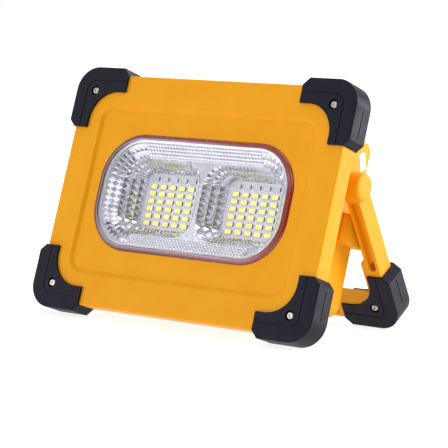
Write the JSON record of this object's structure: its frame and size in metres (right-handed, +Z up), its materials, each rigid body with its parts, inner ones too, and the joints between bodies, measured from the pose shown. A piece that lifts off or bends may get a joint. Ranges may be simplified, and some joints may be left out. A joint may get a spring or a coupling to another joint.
{
  "type": "solar flood light",
  "caption": "Portable rectangular flood light with rubber corner bumpers, solar panel back and U-shaped swinging stand that also serves as its handle.",
  "frame": {"origin": "bottom centre of the whole object as it stands on its front bumpers and opened stand", "axes": "+X to the right seen from the front, +Y towards the back, +Z up"},
  "size_m": [0.2412, 0.1372, 0.1761],
  "materials": {
    "yellow_plastic": "fine moulded texture",
    "bumper_rubber": "matt moulded",
    "lens_clear": "polished clear",
    "gasket_rubber": "soft, slightly translucent",
    "reflector_plating": "mirror plated, faceted",
    "lamp_board": "white solder mask",
    "lamp_led_yellow": "phosphor in a white package",
    "signal_led_white": "clear in a white package",
    "heat_sink_metal": "as rolled",
    "screw_steel": "nickel plated",
    "seal_rubber": "foamed",
    "solar_black": "matt",
    "solar_silicon": "anti-reflection coated",
    "solar_clear": "polished clear",
    "cell_sleeve": "shrink sleeve over a metal can",
    "holder_black": "moulded",
    "nickel_strip": "bright",
    "circuit_board": "green solder mask",
    "component_black": "moulded packages",
    "socket_metal": "drawn shell",
    "switch_black": "moulded",
    "label_paper": "blank, satin",
    "wire_insulation": "soft insulation",
    "cover_rubber": "matt",
    "button_black": "satin"
  },
  "bodies": {
    "head": {"front_shell": "yellow_plastic", "rear_shell": "yellow_plastic", "frame_bumper_top_left": "bumper_rubber", "frame_bumper_bottom_left": "bumper_rubber", "frame_bumper_top_right": "bumper_rubber", "frame_bumper_bottom_right": "bumper_rubber", "lens": "lens_clear", "lens_gasket": "gasket_rubber", "reflector": "reflector_plating", "led_board": "lamp_board", "lamp_leds": "lamp_led_yellow", "signal_leds": "signal_led_white", "heat_sink": "heat_sink_metal", "frame_bumper_screws_front": "screw_steel", "frame_bumper_screws_rear": "screw_steel", "reflector_screws": "screw_steel", "led_board_screws": "screw_steel", "shell_screws": "screw_steel", "battery_holder_screws": "screw_steel", "control_board_screws": "screw_steel", "hinge_bolt_left": "screw_steel", "hinge_bolt_right": "screw_steel", "hinge_nut_left": "screw_steel", "hinge_nut_right": "screw_steel", "hinge_washer_left": "screw_steel", "hinge_washer_right": "screw_steel", "port_cover_pin": "screw_steel", "shell_seal": "seal_rubber", "solar_backing": "solar_black", "solar_cells": "solar_silicon", "solar_cover": "solar_clear", "battery_cells": "cell_sleeve", "battery_holder": "holder_black", "cell_links": "nickel_strip", "control_board": "circuit_board", "control_board_parts": "component_black", "port_socket": "socket_metal", "button_switch": "switch_black", "side_label": "label_paper", "lamp_wires": "wire_insulation", "battery_wires": "wire_insulation", "solar_wires": "wire_insulation", "port_wires": "wire_insulation", "button_wires": "wire_insulation"},
    "stand": {"stand_frame": "yellow_plastic", "stand_bumper_left": "bumper_rubber", "stand_bumper_right": "bumper_rubber", "hub_cap_left": "yellow_plastic", "hub_cap_right": "yellow_plastic", "stand_bumper_screws_front": "screw_steel", "stand_bumper_screws_rear": "screw_steel"},
    "power_button": {"power_button": "button_black"},
    "port_cover": {"port_cover": "cover_rubber"}
  },
  "joints": [
    {"name": "stand_hinge", "type": "hinge", "parent": "head", "child": "stand", "pos_m": [0, 0.00076, 0.10374], "axis": [1, 0, 0], "range_deg": [-48.9, 131.1]},
    {"name": "power_button_press", "type": "slide", "parent": "head", "child": "power_button", "axis": [0, -0.9494, 0.314], "range_m": [0, 0.001], "stiffness_N_per_m": 1200, "springref_m": -0.0004},
    {"name": "port_cover_hinge", "type": "hinge", "parent": "head", "child": "port_cover", "pos_m": [0.1005, 0.02812, 0.06704], "axis": [0, -0.314, -0.9494], "range_deg": [0, 90]}
  ]
}
